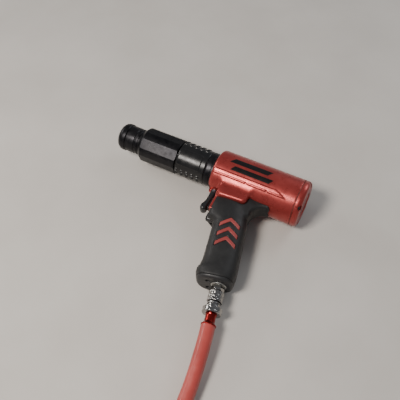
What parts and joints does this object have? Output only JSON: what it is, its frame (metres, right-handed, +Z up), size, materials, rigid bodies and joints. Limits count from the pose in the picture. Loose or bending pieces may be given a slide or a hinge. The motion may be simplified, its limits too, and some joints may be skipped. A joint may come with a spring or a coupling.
{
  "type": "pneumatic rivet gun",
  "caption": "Pistol-grip pneumatic rivet gun with a quick-change retainer, dotted barrel shroud, rubber grip, trigger, inlet coupler and a coiled leader hose.",
  "frame": {"origin": "centre of the bounding box of the gun with its coupler, without the hose, on the floor it lies on", "axes": "+X along the barrel from the muzzle to the rear, -Y towards the grip's base, +Z up from the floor, out of the gun's left side"},
  "size_m": [0.2548, 0.5884, 0.058],
  "materials": {
    "red_paint": "semi-gloss enamel on a die casting, light orange peel",
    "rubber_seal": "matt nitrile rubber",
    "gasket_fibre": "pressed fibre gasket, dull red-brown",
    "zinc_steel": "zinc-plated steel",
    "machined_steel": "turned steel",
    "black_oxide": "black oxide steel, oiled",
    "shroud_rubber": "moulded rubber with raised dots",
    "hardened_steel": "ground hardened steel",
    "valve_plastic": "acetal",
    "spring_steel": "spring wire",
    "trigger_plastic": "moulded black nylon",
    "brass": "turned brass",
    "grip_rubber": "soft overmoulded rubber, fine grain",
    "red_inlay": "red rubber inlay",
    "grip_plastic": "moulded black plastic",
    "felt": "felt silencer pad",
    "plated_steel": "nickel-plated steel",
    "red_anodised": "red anodised aluminium",
    "red_hose": "red rubber air hose",
    "tie_strap": "woven hook-and-loop strap"
  },
  "bodies": {
    "gun": {"housing": "red_paint", "rear_cap": "red_paint", "rear_cap_gasket": "gasket_fibre", "rear_cap_screws": "black_oxide", "rear_buffer": "rubber_seal", "barrel": "machined_steel", "barrel_lock_ring": "black_oxide", "barrel_shroud": "shroud_rubber", "valve_block": "machined_steel", "valve_cover": "machined_steel", "valve_dowels": "hardened_steel", "retainer_body": "black_oxide", "retainer_sleeve": "black_oxide", "retainer_spring": "spring_steel", "retainer_clip": "spring_steel", "trigger_pin": "hardened_steel", "throttle_bushing": "brass", "throttle_seat": "rubber_seal", "throttle_spring": "spring_steel", "grip_rubber": "grip_rubber", "grip_inlay": "red_inlay", "base_cap": "grip_plastic", "exhaust_muffler": "felt", "inlet_bushing": "zinc_steel", "inlet_screen": "brass", "air_plug": "plated_steel", "coupler_body": "plated_steel", "coupler_spring": "spring_steel", "coupler_balls": "hardened_steel", "coupler_valve": "brass", "hose_fitting": "red_anodised", "hose": "red_hose", "hose_coil": "red_hose", "hose_tail": "red_hose", "hose_tie": "tie_strap", "hose_end_ferrule": "plated_steel", "hose_end_plug": "plated_steel"},
    "piston": {"piston": "hardened_steel"},
    "valve_disc": {"valve_disc": "valve_plastic"},
    "collar": {"retainer_collar": "black_oxide", "retainer_nose": "black_oxide"},
    "ball_1": {"retainer_ball_1": "hardened_steel"},
    "ball_2": {"retainer_ball_2": "hardened_steel"},
    "ball_3": {"retainer_ball_3": "hardened_steel"},
    "trigger": {"trigger": "trigger_plastic"},
    "plunger": {"throttle_plunger": "brass"},
    "regulator": {"regulator_knob": "trigger_plastic", "regulator_ring": "red_anodised", "regulator_spindle": "brass", "regulator_seal": "rubber_seal"},
    "coupler_sleeve": {"coupler_sleeve": "plated_steel"}
  },
  "joints": [
    {"name": "trigger_pull", "type": "hinge", "parent": "gun", "child": "trigger", "pos_m": [0.0217, 0.04871, 0.027], "axis": [0, -0.0651, 0.9979], "range_deg": [0, 7], "stiffness_Nm_per_rad": 1.2, "springref_deg": -6.88},
    {"name": "throttle_slide", "type": "slide", "parent": "gun", "child": "plunger", "axis": [1, 0, 0], "range_m": [0, 0.0024], "deforming": ["throttle_spring"]},
    {"name": "collar_slide", "type": "slide", "parent": "gun", "child": "collar", "axis": [1, 0, 0], "range_m": [0, 0.005], "stiffness_N_per_m": 2000, "springref_m": -0.006, "deforming": ["retainer_spring"]},
    {"name": "ball_1_slide", "type": "slide", "parent": "gun", "child": "ball_1", "axis": [0, -0.5553, 0.8317], "range_m": [0, 0.0012]},
    {"name": "ball_2_slide", "type": "slide", "parent": "gun", "child": "ball_2", "axis": [0, -0.4426, -0.8967], "range_m": [0, 0.0012]},
    {"name": "ball_3_slide", "type": "slide", "parent": "gun", "child": "ball_3", "axis": [0, 0.9979, 0.0651], "range_m": [0, 0.0012]},
    {"name": "piston_stroke", "type": "slide", "parent": "gun", "child": "piston", "axis": [1, 0, 0], "range_m": [0, 0.091]},
    {"name": "valve_disc_slide", "type": "slide", "parent": "gun", "child": "valve_disc", "axis": [1, 0, 0], "range_m": [0, 0.0014]},
    {"name": "regulator_turn", "type": "hinge", "parent": "gun", "child": "regulator", "pos_m": [0.0302, 0.01528, 0.02482], "axis": [1, 0, 0], "range_deg": [0, 180]},
    {"name": "coupler_sleeve_slide", "type": "slide", "parent": "gun", "child": "coupler_sleeve", "axis": [0.2164, -0.9742, -0.0635], "range_m": [0, 0.004], "stiffness_N_per_m": 1500, "springref_m": -0.004, "deforming": ["coupler_spring"]}
  ],
  "couplings": [
    {"joint": "throttle_slide", "follows": "trigger_pull", "m_per_rad": 0.0192},
    {"joint": "ball_1_slide", "follows": "collar_slide", "ratio": 0.24},
    {"joint": "ball_2_slide", "follows": "collar_slide", "ratio": 0.24},
    {"joint": "ball_3_slide", "follows": "collar_slide", "ratio": 0.24}
  ]
}
